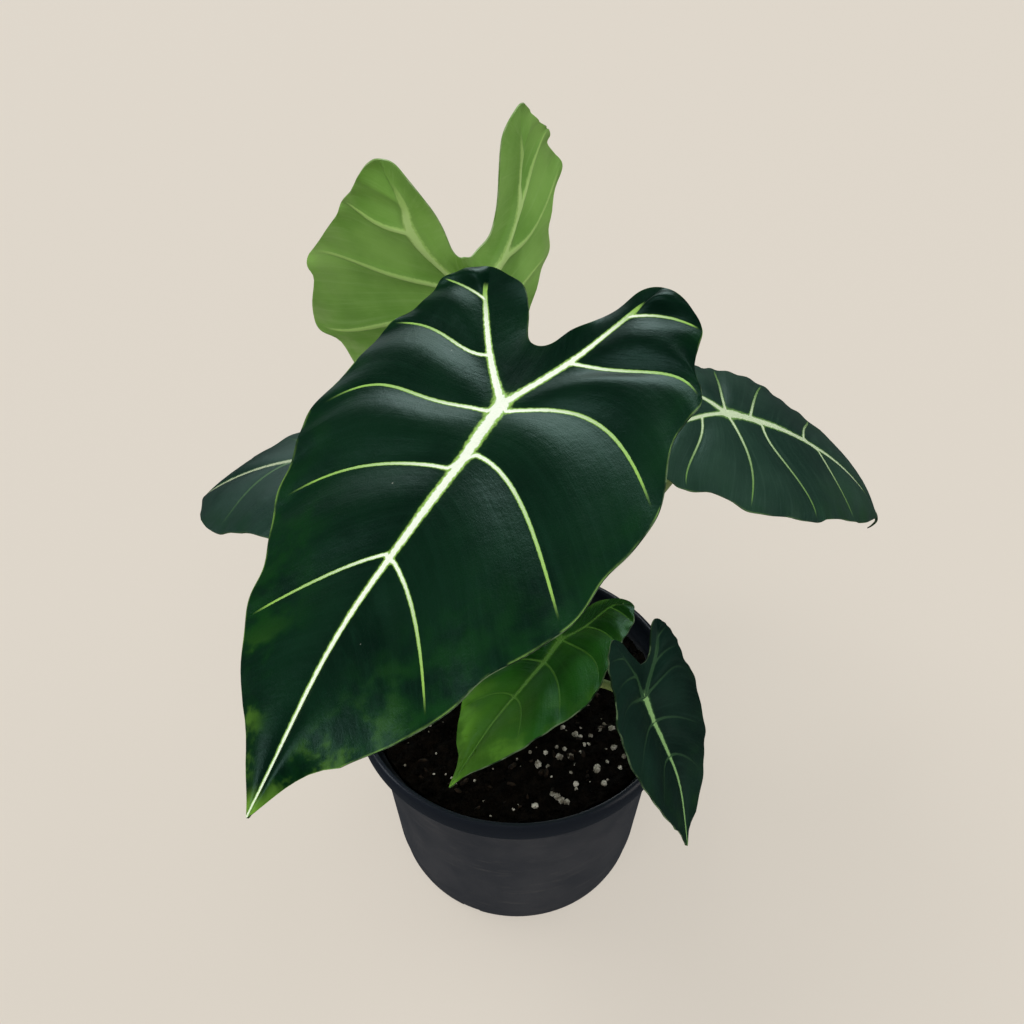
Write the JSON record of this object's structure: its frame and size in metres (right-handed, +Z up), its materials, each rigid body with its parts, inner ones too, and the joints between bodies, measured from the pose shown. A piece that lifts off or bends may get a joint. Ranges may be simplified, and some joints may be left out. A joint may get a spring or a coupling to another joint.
{
  "type": "potted frydek alocasia",
  "caption": "Potted velvet alocasia with dark arrowhead leaves, pale veins and slim petioles in a round dark nursery pot filled with soil.",
  "frame": {"origin": "middle of the pot's underside, on the pot's axis, at the level that the pot stands on", "axes": "+Z up along the pot's axis; -Y is the plant's front, the side that the biggest leaf in front hangs over; +X is to the right seen from the front"},
  "size_m": [0.3194, 0.3141, 0.3387],
  "materials": {
    "pot": "satin",
    "soil": "matte",
    "corm": "matte",
    "blade_dark": "satin",
    "blade_pale": "satin",
    "blade_bright": "satin",
    "petiole": "satin"
  },
  "bodies": {
    "root": {"pot": "pot", "soil": "soil", "corm": "corm", "blade_front": "blade_dark", "petiole_front": "petiole", "blade_back": "blade_pale", "petiole_back": "petiole", "blade_right": "blade_dark", "petiole_right": "petiole", "blade_left": "blade_dark", "petiole_left": "petiole", "blade_young": "blade_bright", "petiole_young": "petiole", "blade_small": "blade_dark", "petiole_small": "petiole"}
  },
  "joints": []
}
